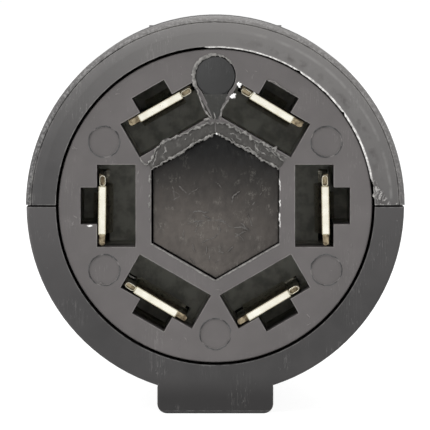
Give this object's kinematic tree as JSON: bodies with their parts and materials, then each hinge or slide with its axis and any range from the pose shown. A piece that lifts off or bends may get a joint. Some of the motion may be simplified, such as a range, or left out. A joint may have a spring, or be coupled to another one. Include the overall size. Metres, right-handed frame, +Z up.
{
  "type": "trailer wiring connector plug",
  "caption": "Round keyed trailer wiring plug: split plastic shell, contact carrier with flat blade slots, screw terminals, cable grommet and clamp.",
  "frame": {"origin": "on the plug's axis, in the plane of the nose's front edge", "axes": "+X right and +Z up, looking at the mating face; +Y from the mating face to the cable end"},
  "size_m": [0.0488, 0.091, 0.051],
  "materials": {
    "shell_plastic": "moulded, fine grain",
    "insert_plastic": "moulded, slightly dusty",
    "filler_plastic": "rough moulded",
    "contact_brass": "tinned and polished at the tongue",
    "set_screw_steel": "zinc plated",
    "plated_steel": "zinc plated",
    "grommet_rubber": "soft matt"
  },
  "bodies": {
    "base": {"lower_shell": "shell_plastic", "contact_insert": "insert_plastic", "blanking_filler": "filler_plastic", "terminal_1": "contact_brass", "terminal_2": "contact_brass", "terminal_3": "contact_brass", "terminal_4": "contact_brass", "terminal_5": "contact_brass", "terminal_6": "contact_brass", "body_nuts": "plated_steel", "cable_grommet": "grommet_rubber", "clamp_nuts": "plated_steel"},
    "cover": {"upper_shell": "shell_plastic"},
    "clamp": {"cable_clamp": "shell_plastic"},
    "clamp_screw_left": {"clamp_screw_left": "plated_steel"},
    "clamp_screw_right": {"clamp_screw_right": "plated_steel"},
    "body_screw_1": {"body_screw_1": "plated_steel"},
    "body_screw_2": {"body_screw_2": "plated_steel"},
    "body_screw_3": {"body_screw_3": "plated_steel"},
    "body_screw_4": {"body_screw_4": "plated_steel"},
    "terminal_screw_1": {"terminal_screw_1": "set_screw_steel"},
    "terminal_screw_2": {"terminal_screw_2": "set_screw_steel"},
    "terminal_screw_3": {"terminal_screw_3": "set_screw_steel"},
    "terminal_screw_4": {"terminal_screw_4": "set_screw_steel"},
    "terminal_screw_5": {"terminal_screw_5": "set_screw_steel"},
    "terminal_screw_6": {"terminal_screw_6": "set_screw_steel"}
  },
  "joints": [
    {"name": "cover_lift", "type": "slide", "parent": "base", "child": "cover", "axis": [0, 0, 1], "range_m": [0, 0.045]},
    {"name": "body_screw_1_out", "type": "slide", "parent": "cover", "child": "body_screw_1", "axis": [0, 0, 1], "range_m": [0, 0.012]},
    {"name": "body_screw_2_out", "type": "slide", "parent": "cover", "child": "body_screw_2", "axis": [0, 0, 1], "range_m": [0, 0.012]},
    {"name": "body_screw_3_out", "type": "slide", "parent": "cover", "child": "body_screw_3", "axis": [0, 0, 1], "range_m": [0, 0.012]},
    {"name": "body_screw_4_out", "type": "slide", "parent": "cover", "child": "body_screw_4", "axis": [0, 0, 1], "range_m": [0, 0.012]},
    {"name": "terminal_screw_1_travel", "type": "slide", "parent": "base", "child": "terminal_screw_1", "axis": [0.5, 0, 0.866], "range_m": [-0.0038, 0.0007]},
    {"name": "terminal_screw_2_travel", "type": "slide", "parent": "base", "child": "terminal_screw_2", "axis": [1, 0, 0], "range_m": [-0.0038, 0.0007]},
    {"name": "terminal_screw_3_travel", "type": "slide", "parent": "base", "child": "terminal_screw_3", "axis": [0.5, 0, -0.866], "range_m": [-0.0038, 0.0007]},
    {"name": "terminal_screw_4_travel", "type": "slide", "parent": "base", "child": "terminal_screw_4", "axis": [-0.5, 0, -0.866], "range_m": [-0.0038, 0.0007]},
    {"name": "terminal_screw_5_travel", "type": "slide", "parent": "base", "child": "terminal_screw_5", "axis": [-1, 0, 0], "range_m": [-0.0038, 0.0007]},
    {"name": "terminal_screw_6_travel", "type": "slide", "parent": "base", "child": "terminal_screw_6", "axis": [-0.5, 0, 0.866], "range_m": [-0.0038, 0.0007]},
    {"name": "clamp_travel", "type": "slide", "parent": "base", "child": "clamp", "axis": [0, 0, 1], "range_m": [-0.0009, 0.0028]},
    {"name": "clamp_screw_left_out", "type": "slide", "parent": "clamp", "child": "clamp_screw_left", "axis": [0, 0, 1], "range_m": [0, 0.011]},
    {"name": "clamp_screw_right_out", "type": "slide", "parent": "clamp", "child": "clamp_screw_right", "axis": [0, 0, 1], "range_m": [0, 0.011]}
  ]
}
